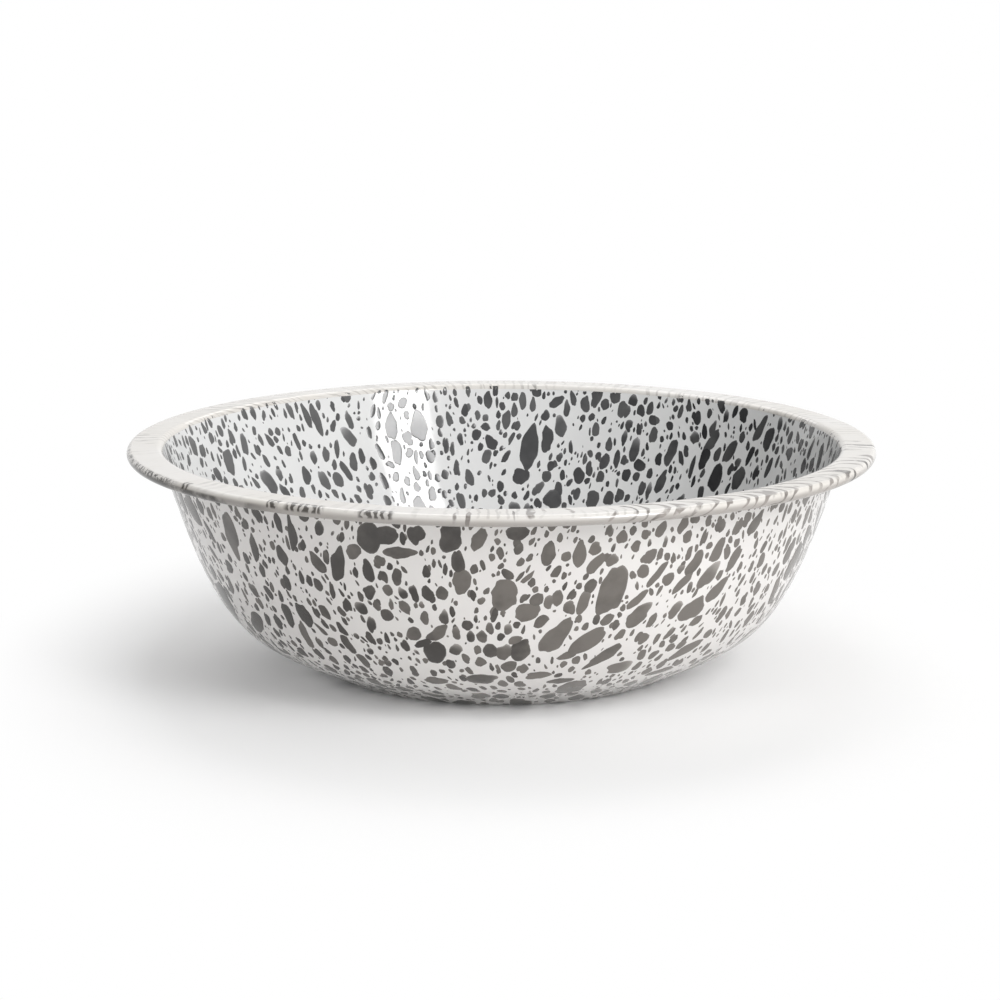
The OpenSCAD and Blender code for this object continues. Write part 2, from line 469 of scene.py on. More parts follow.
def rim_outline():
    """Closed section of the rim coat: over the wall's top and flange, round the bead to where it
    meets the flange's underside, back to the wall, then the same way inside the coat."""
    out = rim_turn
    flange_r = turn_r + (rim_bend + wall_thickness) * np.sin(flange_fall)
    run = rim_radius - bead_radius + bead_radius * np.sin(flange_fall) - flange_r
    along_flange = np.array([1, -np.tan(flange_fall)]) * run
    flange = straight(out[-1, :2], out[-1, :2] + along_flange, -flange_fall, 12)
    inner = bead_radius - wall_thickness
    centre = at_depth(flange[-1:], wall_thickness - bead_radius)[0]
    sweep = 1.5 * np.pi + np.arcsin(inner / bead_radius)
    bead = turn(*centre, -inner, -flange_fall, -flange_fall - sweep, 56)
    top = at_depth(np.vstack([out, flange[1:-1], bead]), wall_thickness)
    under = at_depth(np.vstack([out, flange[1:5]])[::-1], 0)
    coat_r = bead_radius - cover_thickness
    meets = 1.5 * np.pi + np.arcsin((inner + cover_thickness) / coat_r)
    hollow = turn(*centre, -(coat_r - wall_thickness), -flange_fall, -flange_fall - meets, 28)
    back_under = at_depth(np.vstack([out[::2], flange[1:9:2]]), cover_thickness)
    back_top = at_depth(np.vstack([out[::2], flange[1:-1:2], hollow]), wall_thickness)
    inset = at_depth(np.vstack([out[::2], flange[1:-1:2]]), wall_thickness - cover_thickness)
    back_top[:len(inset)] = inset
    return np.vstack([top, under]), np.vstack([back_under, back_top[::-1]])


# Middle and half width in degrees from the front towards +X of the dark smudges at the front left
smudges = ((-53, 0.9), (-34.3, 1.0), (-29, 3), (-17.8, 2.5))


def comb_marks(tree, place, way_out, part, azimuth, across, in_front):
    """Streaks lie across the rim like the marks of a comb: the sine of a phase that grows 130 times
    round the rim and is pushed about by noise, and that runs back in a bow on both sides of the bead
    at the front right and the back left. They come in groups, are slim at both ends of the bowl,
    faint behind and nearly missing at the front left. Gives the streaks and the hairs between."""
    corner = times(tree, part["X"], part["Y"], -1.0)
    centred = calc(tree, "DIVIDE", calc(tree, "SUBTRACT", across, 12.5), 8.0)
    outer = times(tree, centred, centred)
    bow = times(tree, outer, 6.0, eased(tree, corner, 0.1, 0.4, 0.1, 1.0))
    push = swing(tree, way_out, 3.6, 32.0, 4, 0.6)
    pushed = plus(tree, bow, push, swing(tree, place, 70, 5.0))
    stripes = calc(tree, "SINE", plus(tree, times(tree, azimuth, 130.0), pushed))
    front_right = times(tree, eased(tree, part["X"], 0.48, 0.6), eased(tree, part["Y"], 0.05, -0.2))
    busy = calc(tree, "MAXIMUM", eased(tree, noise(tree, way_out, 2.9), 0.47, 0.58), front_right)
    sideways = times(tree, part["X"], part["X"])
    slim = plus(tree, eased(tree, sideways, 0.6, 0.95, 0.0, 0.45), times(tree, outer, 0.25))
    calm = plus(tree, slim, times(tree, calc(tree, "SUBTRACT", 1.0, busy), 0.8))
    width = plus(tree, eased(tree, noise(tree, place, 60), 0.3, 0.7, 0.7, -0.5), calm)
    plain = times(tree, eased(tree, part["X"], -0.08, -0.25, 0.0, 0.85), in_front)
    combed = calc(tree, "SUBTRACT", 1.0, plain)
    strength = eased(tree, noise(tree, place, 140, 3), 0.3, 0.55, 0.2, 1.0)
    strength = times(tree, strength, eased(tree, part["Y"], -0.1, 0.5, 1.0, 0.4), combed)
    streaks = times(tree, eased(tree, calc(tree, "SUBTRACT", stripes, width), -0.1, 0.35), strength)
    waved = plus(tree, bow, swing(tree, place, 55, 16.0, 3))
    hairs = calc(tree, "SINE", plus(tree, times(tree, azimuth, 230.0), waved))
    patches = eased(tree, noise(tree, place, 40), 0.46, 0.64, 0.0, 0.38)
    return streaks, times(tree, eased(tree, hairs, 0.3, 1.0), patches, combed)


def smudge_marks(tree, place, azimuth, across):
    """Dark scribbled smudges on the bead at the front left."""
    from_front = plus(tree, calc(tree, "DEGREES", azimuth), 90.0)
    smudged = 0.0
    for middle, half in smudges:
        off = calc(tree, "ABSOLUTE", calc(tree, "SUBTRACT", from_front, middle))
        smudged = calc(tree, "MAXIMUM", smudged, eased(tree, off, half * 1.2, half * 0.8))
    curl = swing(tree, place, 190, 14.0)
    scribble = calc(tree, "SINE", plus(tree, times(tree, azimuth, 330.0), curl))
    on_bead = times(tree, eased(tree, across, 12.6, 14.0), eased(tree, across, 19.6, 18.4))
    return times(tree, smudged, eased(tree, scribble, -0.7, 0.3, 0.2, 0.9), on_bead)


def burnt_marks(tree, place, part, across, in_front):
    """On the left the thin coat under the bead burnt: dark specks, and a line along its edge."""
    specks = times(
        tree, eased(tree, noise(tree, place, 420, 3, 0.7), 0.46, 0.56),
        eased(tree, part["X"], -0.81, -0.87), eased(tree, across, 15.0, 16.4),
    )
    edge = times(
        tree, eased(tree, part["X"], -0.5, -0.72), eased(tree, across, 17.6, 18.8),
        eased(tree, noise(tree, place, 90, 3), 0.36, 0.5, 0.3, 1.0),
    )
    return times(tree, calc(tree, "MAXIMUM", specks, edge), in_front)


def combed_enamel(tree):
    """White enamel with all these marks. Under the bead it is greyer: painted shade where the bead shades its
    own underside, and partly a thinner coat there.
    """
    place = object_place(tree)
    across = add(tree, "Attribute", attribute_name="across").outputs["Fac"]
    way_out = vector(tree, "NORMALIZE", vector(tree, "MULTIPLY", place, (1, 1, 0)))
    part = add(tree, "SeparateXYZ", {0: way_out}).outputs
    azimuth = calc(tree, "ARCTAN2", part["Y"], part["X"])
    in_front = eased(tree, part["Y"], 0.1, -0.15)
    streaks, hairs = comb_marks(tree, place, way_out, part, azimuth, across, in_front)
    dark = times(tree, streaks, eased(tree, noise(tree, place, 34, 1), 0.5, 0.68))
    burnt = calc(
        tree, "MAXIMUM", burnt_marks(tree, place, part, across, in_front),
        smudge_marks(tree, place, azimuth, across),
    )
    # Painted shade under the bead, partly also a thinner coat: greyer from 16.8 to 19.4 mm across.
    thin = eased(tree, across, 16.8, 19.4, 0.0, 0.75)
    thin = times(tree, thin, eased(tree, across, 20.5, 23.0, 1.0, 0.3))
    clean = mixed(tree, eased(tree, noise(tree, place, 24), 0.35, 0.65), rim_white, rim_cream)
    marks_and_under_shade = calc(tree, "MAXIMUM", calc(tree, "MAXIMUM", streaks, hairs), thin)
    grey = mixed(tree, marks_and_under_shade, clean, streak_and_shade_grey)
    shade = mixed(tree, calc(tree, "MAXIMUM", dark, burnt), grey, streak_dark)
    return skin(tree, shade, shade, 0.1, orange_peel)


rim_seen, rim_back = rim_outline()
rim_line = np.vstack([rim_seen, rim_back])
rim_way = along(rim_seen)
rim_share = np.r_[
    rim_way / rim_way[-1] * (1 - 2 * hidden_share), np.linspace(1 - hidden_share, 1, len(rim_back) + 1)
]
rim_grid = turned(rim_line, np.zeros((rounds, len(rim_line), 2)), -1)
rim_points, rim_faces, rim_maps = shell(rim_grid, rim_share, True)
rim_across = np.r_[rim_way * 1000, np.zeros(len(rim_back))]
rim_piece = make_piece(
    "combed_rim_coat", rim_points, rim_faces, rim_maps, {"across": np.tile(rim_across, rounds)},
    finish("combed_rim_enamel", combed_enamel), "rim_enamel",
)
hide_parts("rim_coat")

# Grey drops, outside: thin grey enamel flicked from a brush onto the dry white coat and fused with
# it. Each lies a few hundredths of a millimetre proud, long drops run up the wall, and where drops
# nearly met a thin white line is left. The large ones in front are placed one by one, and the rest
# fall at random in what room is left: the splash, and then the fine spray between.
drop_thickness = 0.00006
drop_sink = 0.00012
gap = 0.00035
squeeze = 1.08
run_together = 0.84
onto_rim = 0.0016
neighbours = 22
spray_below = 0.0034
large_from = 0.006
least_length = 0.0009
least_fit = 0.6
lobed_share = 0.45
faded_share = 0.25
face_past_turn = 0.008
# Batches, tries in each, and shortest and longest drop of each stage of the random fall
stages = (
    (1, 110, 0.016, 0.023),
    (1, 260, 0.012, 0.016),
    (2, 330, 0.008, 0.012),
    (6, 500, 0.005, 0.008),
    (8, 500, 0.0034, 0.005),
    (8, 500, 0.0022, 0.0034),
    (6, 500, 0.0013, 0.0022),
)
size_classes = (
    (0.0, 0.0022, 7, (1,)),
    (0.0022, 0.0034, 9, (1,)),
    (0.0034, 0.0052, 11, (0.8, 1)),
    (0.0052, 0.008, 14, (0.65, 0.9, 1)),
    (0.008, 0.012, 18, (0.5, 0.75, 0.92, 1)),
    (0.012, 0.017, 24, (0.35, 0.6, 0.8, 0.93, 1)),
    (0.017, 1.0, 34, (0.18, 0.36, 0.54, 0.7, 0.84, 0.94, 1)),
)
# Read in the photograph: azimuth in degrees from the front towards +X, mm up the wall from the
# foot ring, length, width, and lean in degrees from straight up the wall, towards +X
placed_outside = (
    (-52, 113, 26, 10, 5), (-59, 83, 20, 7, 20), (-56, 66, 18, 9, 45), (-46, 110, 14, 5, 5),
    (-38.5, 125, 9, 4.5, 0), (-36, 118, 24, 5, 3), (-39.5, 109, 10, 6, 0), (-43, 77, 13, 6, 0),
    (-38.5, 79, 14, 7, -5), (-40.5, 67, 16, 5, 0), (-32, 108, 11, 6, -40), (-28, 109, 18, 7, 20),
    (-30.5, 66, 12, 5, -10), (-34, 66, 6, 5, 0), (-28.5, 56, 9, 5, -10), (-24.5, 116, 9, 7, 50),
    (-21.5, 123, 15, 12, 30), (-18.5, 125, 12, 9, 60), (-16.5, 117, 14, 6, 85), (-22.5, 107, 12, 5, -10),
    (-17.5, 105, 8, 5, 10), (-23, 96, 7, 6, 0), (-19.5, 98, 6, 4.5, 0), (-24, 79, 10, 4, 5),
    (-20.5, 85, 6.5, 6, -30), (-16, 76, 8, 6.5, -10), (-13.5, 126, 10, 7, 5), (-13.5, 85, 8, 3.5, 5),
    (-14, 45, 11, 7, 80), (-12.5, 66, 15, 9.5, 0), (-11.5, 77, 12, 6, 45), (-14.5, 71, 10, 3.5, 60),
    (-10, 98, 7.5, 5, 0), (-10, 86, 8, 4, 10), (-8, 125, 15, 11, 5), (-7, 114, 12, 5.5, -5),
    (-6.5, 104, 13, 8, 10), (-8.5, 68, 7, 5.5, 20), (-6, 82, 6, 4.5, 10), (-3.5, 125, 11, 6, 20),
    (-3.5, 76, 7, 4.5, 0), (-4, 61, 6, 5, 0), (-4, 48, 13, 9, 85), (-2, 68, 8, 7, 0),
    (0.5, 98, 15, 12, 10), (0.5, 67, 10, 7, 10), (1.5, 58, 8, 7, 30), (1, 108, 6, 4.5, -30),
    (2.5, 128, 9, 8.5, 0), (2.5, 74, 6, 5, 70), (3.5, 68, 14, 8, 25), (4.5, 89, 11.5, 9, 80),
    (6, 95, 8, 6, 20), (5, 108, 12, 3, 45), (7.5, 118, 11, 6.5, 0), (8, 94, 7, 4.5, 0),
    (9.5, 96, 8, 5, 0), (9, 109, 7, 3.5, 25), (7.5, 51, 11, 6, 80), (10, 76, 22, 9, 30),
    (12.5, 117, 13.5, 6, 10), (12.5, 64, 8, 5, 60), (13, 46, 13, 6, 80), (14, 93, 12, 6, 10),
    (15, 101, 8, 5, 15), (15.5, 112, 10, 6, 35), (16, 72, 20, 9, 42), (19, 98, 26, 12, 8),
    (19, 83, 8, 5, 30), (20, 62, 20, 6, 48), (22, 119, 5.5, 4.5, 10), (24, 92, 12, 4.5, 40),
    (25, 84, 15, 8, 45), (24.5, 53, 13, 8, 75), (26, 126, 8, 5, 20), (27, 104, 13, 4.5, 30),
    (30, 127, 8, 5, 20), (32.5, 98, 12, 5, 40), (32.5, 84, 9, 6, 25), (34, 107, 12, 7, 20),
    (36.5, 83, 15, 10, 35), (38.5, 112, 13, 6.5, 20), (38, 100, 14, 8, 30), (38.5, 76, 7, 5, 60),
    (37, 43, 14, 6, 75), (39.5, 58, 20, 8, 60), (41, 91, 14, 7, 35), (43, 106, 13, 6, 25),
    (46, 122, 14, 5.5, 25),
)


def finished_face(depth):
    """A finished face as a table of way along it from the axis, radius, height and slope, up over
    the turn of the rim and a little way out under or over the flange."""
    end = rim_turn[-1, :2]
    out = straight(end, end + np.array([face_past_turn, 0]), -flange_fall, 2)
    stations = np.vstack([to_wall_top, rim_turn[1:], out[1:]])
    line = at_depth(stations, depth)
    return along(line), line[:, 0], line[:, 1], stations[:, 2]


def on_face(face, facing, azimuth, way, lift):
    """Points at an azimuth and a way along a face, lifted square to it on the side that is seen.
    The inside is seen from where the slope's normal points, and the outside from the other side."""
    ways, radii, heights, slopes = face
    slope = np.interp(way, ways, slopes)
    lift = (lift + ripple(azimuth, way)) * facing
    radius = np.interp(way, ways, radii) - lift * np.sin(slope)
    height = np.interp(way, ways, heights) + lift * np.cos(slope)
    return np.stack([radius * np.sin(azimuth), facing * radius * np.cos(azimuth), height], -1)


def from_centre(face, azimuth, way, right, up):
    """Azimuth and way of places given as metres to the right of and up from a centre, on the cone
    that touches the face there: rolled flat, the cone's tip lies r / cos(slope) below the centre."""
    ways, radii, _, slopes = face
    flatness = np.maximum(np.cos(np.interp(way, ways, slopes)), 0.05)
    tip = np.interp(way, ways, radii) / flatness
    reach = np.hypot(tip + up, right)
    return azimuth + np.arctan2(right, tip + up) / flatness, way + reach - tip


def seen_from_centre(face, centre, way, azimuth, other_way):
    """The other way round: how far other places lie to the right of and up from a centre."""
    ways, radii, _, slopes = face
    flatness = np.maximum(np.cos(np.interp(way, ways, slopes)), 0.05)
    tip = np.interp(way, ways, radii) / flatness
    turned_by = (azimuth - centre + np.pi) % (2 * np.pi) - np.pi
    reach = tip + other_way - way
    return reach * np.sin(turned_by * flatness), reach * np.cos(turned_by * flatness) - tip


def middles(face, facing, drops):
    """Three circles along each drop that stand for it when room is sought: their azimuths and ways,
    their points, and their radii, each as drops x 3."""
    azimuth, way, length, width, lean = drops.T[:5, :, None]
    at = np.array([-1, 0, 1]) * np.maximum(length - width, 0) / 2
    place = from_centre(face, azimuth, way, at * np.sin(lean), at * np.cos(lean))
    radius = width / 2 * np.array([0.9, 1, 0.9])
    return place, on_face(face, facing, *place, 0), radius


def stops(face, facing, drops):
    """Lines at which drops that would touch stop short of each other, so that a thin white line is
    left. For each circle of another drop near by, the line lies square to the way from the nearest
    of the drop's own circles, where the two radii share the distance, less half the gap. Drops that
    lie far into each other, or hold each other's middle, have run together and aren't stopped.
    Gives, for each drop, the lines' directions to the right and up and their distances."""
    place, points, radius = middles(face, facing, drops)
    count = len(drops)
    tree = KDTree(count * 3)
    for index, point in enumerate(points.reshape(-1, 3)):
        tree.insert(point, index)
    tree.balance()
    near = np.array([
        [found[1] for found in tree.find_n(point, neighbours)] for point in points.reshape(-1, 3)
    ]).reshape(count, -1)
    azimuth, way, length, width, lean = drops.T[:5, :, None]
    other = near // 3
    x, y = seen_from_centre(face, azimuth, way, place[0].ravel()[near], place[1].ravel()[near])
    at = np.array([-1, 0, 1]) * np.maximum(length - width, 0) / 2
    own_x, own_y = (at * np.sin(lean))[:, None], (at * np.cos(lean))[:, None]
    apart = np.hypot(x[..., None] - own_x, y[..., None] - own_y)
    closest = (apart - radius[:, None]).argmin(2)
    row = np.arange(count)[:, None]
    distance = np.maximum(apart[row, np.arange(near.shape[1]), closest], 1e-6)
    from_x, from_y = own_x[:, 0][row, closest], own_y[:, 0][row, closest]
    own_radius, its_radius = radius[row, closest], radius.ravel()[near]
    to_x, to_y = (x - from_x) / distance, (y - from_y) / distance
    stop = np.maximum(distance * own_radius / (own_radius + its_radius) - gap / 2, 0.3 * own_radius)
    there_x, there_y = seen_from_centre(face, azimuth, way, drops[other, 0], drops[other, 1])
    its_length, its_width, its_lean = drops[other, 2], drops[other, 3], drops[other, 4]

    def in_egg(right, up, long, wide, leaning):
        across = right * np.cos(leaning) - up * np.sin(leaning)
        return np.hypot(across / wide, (right * np.sin(leaning) + up * np.cos(leaning)) / long) < 0.5

    merged = in_egg(there_x, there_y, length, width, lean)
    merged |= in_egg(-there_x, -there_y, its_length, its_width, its_lean)
    deep = (distance < run_together * (own_radius + its_radius)) & (other != row)
    merged |= (deep[..., None, :] & (other[..., None, :] == other[..., :, None])).any(2)
    free = merged | (other == row) | (distance > own_radius + its_radius + gap)
    limit = np.maximum(stop + from_x * to_x + from_y * to_y, 0.3 * width / 2)
    return np.where(free, 0, to_x), np.where(free, 0, to_y), np.where(free, 1, limit)


def lean_at(azimuth, way):
    """Lean in radians that drops which landed together share: two soft waves over the surface."""
    return 0.22 * np.sin(3 * azimuth + 40 * way) + 0.16 * np.sin(8 * azimuth - 70 * way + 1)


def room_at(spots, radii, spot):
    """Distance from each new place to the nearest circle that is taken: the square root of
    a.a + b.b - 2 a.b, less the circle's radius."""
    apart = (spots ** 2).sum(1)[:, None] + (spot ** 2).sum(1) - 2 * spots @ spot.T
    return (np.sqrt(np.maximum(apart, 0)) - radii[:, None]).min(0)


def fall_at_random(face, facing, placed, reach, placed_zone, sparse_left, seed):
    """Adds drops from the longest to the shortest where there is room, with an even chance by area.
    Each is shrunk to the room it finds, and is left out if that is too little. Where drops were
    placed one by one, only small ones fall, and on the left they may keep further apart. Some
    larger ones get a second lobe that runs into them."""
    chance = np.random.default_rng(seed)
    ways = np.linspace(*reach, 400)
    area = np.cumsum(np.interp(ways, face[0], face[1]))
    largest_there, widest, lowest, highest = placed_zone
    drops = [placed]
    _, spots, radii = middles(face, facing, placed)
    spots, radii = spots.reshape(-1, 3), radii.ravel()
    for batches, tries, shortest, longest in stages:
        for _ in range(batches):
            azimuth = chance.uniform(-np.pi, np.pi, tries)
            way = np.interp(chance.uniform(0, area[-1], tries), area, ways)
            length = shortest * (longest / shortest) ** chance.random(tries)
            width = length * chance.uniform(0.3, 0.8, tries)
            loose = 0.2 + 1.3 * np.clip(1 - way / 0.08, 0, 1)
            lean = lean_at(azimuth, way) + chance.normal(0, 1, tries) * loose
            new = np.stack([azimuth, way, length, width, lean], 1)
            there = (abs(azimuth) < widest) & (way > lowest) & (way < highest)
            new = new[~there | (length < largest_there)]
            new = new[np.argsort(-new[:, 2])]
            _, spot, radius = middles(face, facing, new)
            room = room_at(spots, radii, spot.reshape(-1, 3)).reshape(-1, 3)
            white = gap + sparse_left * np.clip(-1.6 * np.sin(new[:, 0]), 0, 1)[:, None]
            fit = squeeze * ((room - white) / radius).min(1)
            new = new[fit > least_fit]
            new[:, 2:4] *= np.minimum(fit[fit > least_fit], 1)[:, None]
            new = new[new[:, 2] > least_length]
            _, spot, radius = middles(face, facing, new)
            taken = np.zeros(len(new), bool)
            for index in range(len(new)):
                clear = not taken.any() or (
                    room_at(spot[taken].reshape(-1, 3), radius[taken].ravel(), spot[index])
                    > radius[index] / squeeze + gap
                ).all()
                taken[index] = clear
            new, spot, radius = new[taken], spot[taken].reshape(-1, 3), radius[taken].ravel()
            if shortest > spray_below:
                lobed = new[chance.random(len(new)) < lobed_share]
                side = chance.uniform(0, 2 * np.pi, len(lobed))
                shift = lobed[:, 3] * 0.5
                lobes = lobed.copy()
                lobes[:, 0], lobes[:, 1] = from_centre(
                    face, lobed[:, 0], lobed[:, 1], shift * np.cos(side), 1.3 * shift * np.sin(side)
                )
                lobes[:, 2:4] *= chance.uniform(0.45, 0.85, (len(lobed), 1))
                _, more, wide = middles(face, facing, lobes)
                new = np.vstack([new, lobes])
                spot, radius = np.vstack([spot, more.reshape(-1, 3)]), np.r_[radius, wide.ravel()]
            drops.append(new)
            spots, radii = np.vstack([spots, spot]), np.r_[radii, radius]
    return np.vstack(drops)


def shade_of(face, drops, chance):
    """Darkness of each drop from 0 to 1 at random. One whose middle lies inside a larger drop has
    run into it, and takes its shade."""
    shade = chance.random(len(drops))
    order = np.argsort(-drops[:, 2])
    large = order[drops[order, 2] > large_from]
    for index in large[::-1]:
        share = share_inside(face, drops[large], drops[index, 0], drops[index, 1])
        near = large[share < 1.25]
        if len(near):
            shade[index] = shade[near[0]]
    return shade


def share_inside(face, drops, azimuth, way):
    """How far out in each of some drops a place lies, 0 at the middle and 1 at the edge: the square
    root of (across / half width)^2 + (along / half length)^2 in the drop's own directions."""
    centre, up, length, width, lean = drops.T[:5]
    right = (azimuth - centre) * np.interp(up, face[0], face[1])
    rise = way - up
    across = right * np.cos(lean) - rise * np.sin(lean)
    lengthways = right * np.sin(lean) + rise * np.cos(lean)
    return np.hypot(across / width, lengthways / length) * 2


def leaned(across, lengthways, lean):
    """How far to the right and up a place lies in a drop that leans."""
    right = across * np.cos(lean) + lengthways * np.sin(lean)
    return right, lengthways * np.cos(lean) - across * np.sin(lean)


def drop_shapes(face, facing, drops, shades, lines, seed):
    """Closed thin drops. A drop's edge is an egg, (w/2 sin t (1 - taper cos t), l/2 cos t), with a few
    soft waves, drawn in to the lines where it stops and rounded there. Its top is rings of that
    edge, shrunk by q and domed by (1 - q^4), its skirt goes on under the white, and a fan closes it
    below. None goes past the turn of the rim. Gives points, faces, maps and two numbers a point: tone,
    the drop's own darkness, and veil, how far the white shows through it."""
    chance = np.random.default_rng(seed)
    top_way = face[0][len(to_wall_top) - 1] + onto_rim
    large = drops[drops[:, 2] > large_from]
    points, faces, maps, tones, veils = [], [], [], [], []
    first = 0
    for low, high, corners, rings in size_classes:
        chosen = (drops[:, 2] >= low) & (drops[:, 2] < high)
        some = drops[chosen]
        count = len(some)
        if not count:
            continue
        azimuth, way, length, width, lean = some.T[:5, :, None, None]
        t = np.arange(corners) * 2 * np.pi / corners
        slim = np.clip((length / width - 1.2) / 1.2, 0, 1)
        taper = chance.uniform(-0.15, 0.18, (count, 1, 1)) + 0.12 * slim
        waves = 1.0
        for lobes in (2, 3, 4, 5, 7, 9):
            size = 0.3 / lobes * chance.uniform(0.2, 1, (count, 1, 1))
            waves = waves + size * np.sin(lobes * t + chance.uniform(0, 2 * np.pi, (count, 1, 1)))
        share = np.array(rings + (1.0 + 0.00025 / max(low, 0.002),))[None, :, None]
        across = width / 2 * np.sin(t) * (1 - taper * np.cos(t)) * waves
        up_drop = length / 2 * np.cos(t) * waves
        right, up = leaned(across, up_drop, lean)
        to_x, to_y, limit = (line[chosen][:, :, None] for line in lines)
        beyond = np.maximum(right * to_x + up * to_y, 1e-9)
        drawn_in = np.minimum(limit / beyond, 1).min(1)[:, None]
        for _ in range(corners // 8):
            rounded = (np.roll(drawn_in, 1, -1) + 2 * drawn_in + np.roll(drawn_in, -1, -1)) / 4
            drawn_in = np.minimum(drawn_in, rounded)
        across, up_drop = across * drawn_in * share, up_drop * drawn_in * share
        thick = drop_thickness * np.clip(length / 0.01, 0.45, 1.2)
        lift = np.where(share > 1, -drop_sink, thick * (1 - share ** 4) + 0.000008) + 0 * across
        right, up = leaned(across, up_drop, lean)
        place = from_centre(face, azimuth, way, right, up)
        place = (place[0], np.minimum(place[1], top_way))
        ring_points = on_face(face, facing, *place, lift)
        top = on_face(face, facing, azimuth, way, thick)[:, 0]
        bottom = on_face(face, facing, azimuth, way, -drop_sink + 0 * thick)[:, 0]
        block = np.concatenate([top, ring_points.reshape(count, -1, 3), bottom], 1)
        size = block.shape[1]
        ring = np.arange(corners)
        after = (ring + 1) % corners
        fan = np.stack([0 * ring, 1 + after, 1 + ring], 1)
        under = np.stack([0 * ring + size - 1, size - 1 - corners + ring, size - 1 - corners + after], 1)
        bands = np.concatenate([
            1 + k * corners + np.stack([ring, after, after + corners, ring + corners], 1)
            for k in range(len(rings))
        ])
        offset = first + size * np.arange(count)[:, None, None]
        out = share + 0 * across
        if low > 0.005:
            places = np.stack([place[0].ravel(), place[1].ravel()], 1)
            inner = np.full(len(places), 9.0)
            for other in large:
                share_there = share_inside(face, other[None], places[:, 0], places[:, 1])
                own = np.repeat((some == other).all(1), out[0].size)
                inner = np.minimum(inner, np.where(own, 9.0, share_there))
            out = np.minimum(out, inner.reshape(out.shape))
        faded = chance.random((count, 1, 1)) < faded_share
        fade = np.where(faded, chance.uniform(0.3, 0.85, (count, 1, 1)), 0)
        ride_up = np.clip(0.5 + up_drop / length, 0, 1)
        veil = np.clip(0.4 * np.clip((out - 0.82) / 0.18, 0, 1) + fade * ride_up ** 2, 0, 1)
        middle = fade[:, 0] * 0.25
        veils.append(np.concatenate([middle, veil.reshape(count, -1), middle], 1).ravel())
        tones.append(np.repeat(shades[chosen], size))
        u = 0.5 + np.concatenate([azimuth[:, 0], place[0].reshape(count, -1), azimuth[:, 0]], 1) / (2 * np.pi)
        v = np.concatenate([way[:, 0], place[1].reshape(count, -1), way[:, 0]], 1) / top_way
        seen_map = np.stack([u, v * (1 - 2 * hidden_share)], 2).reshape(-1, 2)
        hidden_map = np.stack([u, 1 - hidden_share * (1 - v * 0.9)], 2).reshape(-1, 2)
        for part, chart in ((fan, seen_map), (bands[:-corners], seen_map),
                            (bands[-corners:], hidden_map), (under, hidden_map)):
            if len(part):
                some_faces = (part[None] + offset).reshape(-1, part.shape[1])
                faces.append(some_faces)
                maps.append(np.clip(chart[some_faces - first], 0, 1))
        points.append(block.reshape(-1, 3))
        first += count * size
    values = {"tone": np.concatenate(tones), "veil": np.concatenate(veils)}
    return np.vstack(points), faces, maps, values


def splash_pieces(side, face, facing, drops, seed, material):
    """Two pieces of drops for one side of the bowl: the splash, and the fine spray between."""
    shades = shade_of(face, drops, np.random.default_rng(seed))
    lines = stops(face, facing, drops)
    fine = drops[:, 2] < spray_below
    for name, some in (("splash", ~fine), ("spray", fine)):
        near_lines = [line[some] for line in lines]
        shapes = drop_shapes(face, facing, drops[some], shades[some], near_lines, seed + 1)
        piece = make_piece(f"{name}_{side}", *shapes, material, f"grey_enamel_{side}")
        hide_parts(f"grey_drops_{side}")


def grey_enamel(dark, light, white, roughness, side, low, high, start, end):
    """Grey that is darker or lighter from drop to drop, clouded, thin where the veil is, and
    lighter from low to high towards one side of the bowl, +1 for the right and -1 for the left:
    painted light, lighter on the side of the bowl that the light falls on."""
    def dress(tree):
        place = object_place(tree)
        # Painted light: lighter towards the side of the bowl that the light falls on.
        lit_side_paint = add(tree, "SeparateXYZ", {0: place}).outputs["X"]
        lit_side_paint = eased(tree, times(tree, lit_side_paint, side), low, high, start, end)
        tone = add(tree, "Attribute", attribute_name="tone").outputs["Fac"]
        veil = add(tree, "Attribute", attribute_name="veil").outputs["Fac"]
        cloud = swing(tree, place, 130, 0.9, 3)
        shade = plus(tree, times(tree, tone, 0.7), cloud, lit_side_paint)
        grey = mixed(tree, eased(tree, shade, 0.0, 1.0), dark, light)
        thin = eased(tree, plus(tree, veil, times(tree, cloud, 0.3)), 0.1, 1.1)
        return skin(tree, mixed(tree, thin, grey, white), grey, roughness, 0.000015)
    return dress


def placed_rows(rows, way_of):
    """Rows in degrees and millimetres as radians and metres, with the way counted from the axis."""
    rows = np.array(rows, float)
    azimuth, height, length, width, lean = rows.T
    return np.stack([
        np.radians(azimuth), way_of(height / 1000), length / 1000, width / 1000, np.radians(lean)
    ], 1)


outer_face = finished_face(0)
outer_ring_way = np.interp(foot_radius, outer_face[1][:40], outer_face[0][:40])
outer_top_way = along(at_depth(to_wall_top, 0))[-1]
outer_drops = fall_at_random(
    outer_face, -1, placed_rows(placed_outside, lambda up: outer_ring_way + up),
    (0.012, outer_top_way + 0.001), (0.0085, np.radians(58), outer_ring_way + 0.036, outer_top_way), 0, 47,
)
# Painted light: outside, the drops grow lighter towards the lit right side (last four numbers).
grey_outside = finish(
    "grey_enamel_outside",
    grey_enamel(
        (0.036, 0.031, 0.027, 1), (0.15, 0.135, 0.12, 1), (0.5, 0.47, 0.44, 1), 0.12,
        1.0, -0.09, 0.12, -0.1, 0.75,
    ),
)
splash_pieces("outside", outer_face, -1, outer_drops, 5, grey_outside)
